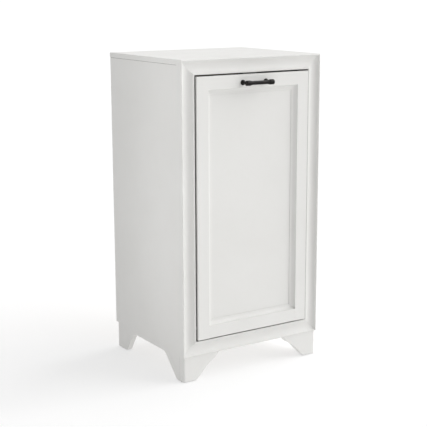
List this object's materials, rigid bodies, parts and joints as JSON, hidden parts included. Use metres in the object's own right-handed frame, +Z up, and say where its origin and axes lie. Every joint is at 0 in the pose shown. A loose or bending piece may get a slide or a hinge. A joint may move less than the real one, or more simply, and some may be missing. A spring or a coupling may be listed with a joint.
{
  "type": "tilt-out waste bin cabinet",
  "caption": "Tall painted wood cabinet on bracket feet whose framed front tilts out on low pivots and carries a lift-out waste bin.",
  "frame": {"origin": "on the floor, at the centre of the whole footprint, the pull included", "axes": "+Z up, front faces -Y, +X to the right as seen from the front"},
  "size_m": [0.46, 0.4377, 0.89],
  "materials": {
    "painted_wood": "smooth off-white satin paint",
    "inner_board": "clear-coated plywood and hardboard",
    "beech": "bare",
    "zinc_steel": "zinc plated",
    "dark_bronze": "dark rubbed bronze",
    "ferrite": "matt",
    "nylon": "moulded",
    "soft_rubber": "matt",
    "bin_plastic": "fine moulded grain"
  },
  "bodies": {
    "cabinet": {"top_panel": "painted_wood", "left_side_panel": "painted_wood", "right_side_panel": "painted_wood", "bottom_panel": "inner_board", "back_panel": "inner_board", "rear_top_rail": "inner_board", "bottom_cleats": "inner_board", "frame_left_stile": "painted_wood", "frame_right_stile": "painted_wood", "frame_top_rail": "painted_wood", "frame_bottom_rail": "painted_wood", "front_left_foot": "painted_wood", "front_right_foot": "painted_wood", "foot_corner_blocks": "inner_board", "floor_glides": "nylon", "cam_locks": "zinc_steel", "cam_bolts": "zinc_steel", "back_panel_screws": "zinc_steel", "left_hinge_plate": "zinc_steel", "right_hinge_plate": "zinc_steel", "hinge_plate_screws": "zinc_steel", "catch_housing": "nylon", "catch_magnet": "ferrite", "catch_screws": "zinc_steel", "door_stops": "painted_wood", "door_bumpers": "soft_rubber", "left_stay_guide": "zinc_steel", "right_stay_guide": "zinc_steel", "stay_guide_screws": "zinc_steel"},
    "door": {"door_left_stile": "painted_wood", "door_right_stile": "painted_wood", "door_top_rail": "painted_wood", "door_bottom_rail": "painted_wood", "door_panel": "painted_wood", "door_dowels": "beech", "left_hinge_bush": "nylon", "right_hinge_bush": "nylon", "pull_bar": "dark_bronze", "pull_left_post": "dark_bronze", "pull_right_post": "dark_bronze", "pull_screws": "zinc_steel", "catch_strike_plate": "zinc_steel", "strike_screws": "zinc_steel", "left_quadrant_stay": "zinc_steel", "right_quadrant_stay": "zinc_steel", "stay_screws": "zinc_steel", "left_bin_cheek": "inner_board", "right_bin_cheek": "inner_board", "bin_shelf": "inner_board", "bin_back_rail": "inner_board", "cheek_screws": "zinc_steel"},
    "bin": {"waste_bin": "bin_plastic"}
  },
  "joints": [
    {"name": "door_tilt", "type": "hinge", "parent": "cabinet", "child": "door", "pos_m": [0, -0.17115, 0.1525], "axis": [1, 0, 0], "range_deg": [0, 30]},
    {"name": "bin_lift", "type": "slide", "parent": "door", "child": "bin", "axis": [0, 0, 1], "range_m": [0, 0.085]}
  ]
}
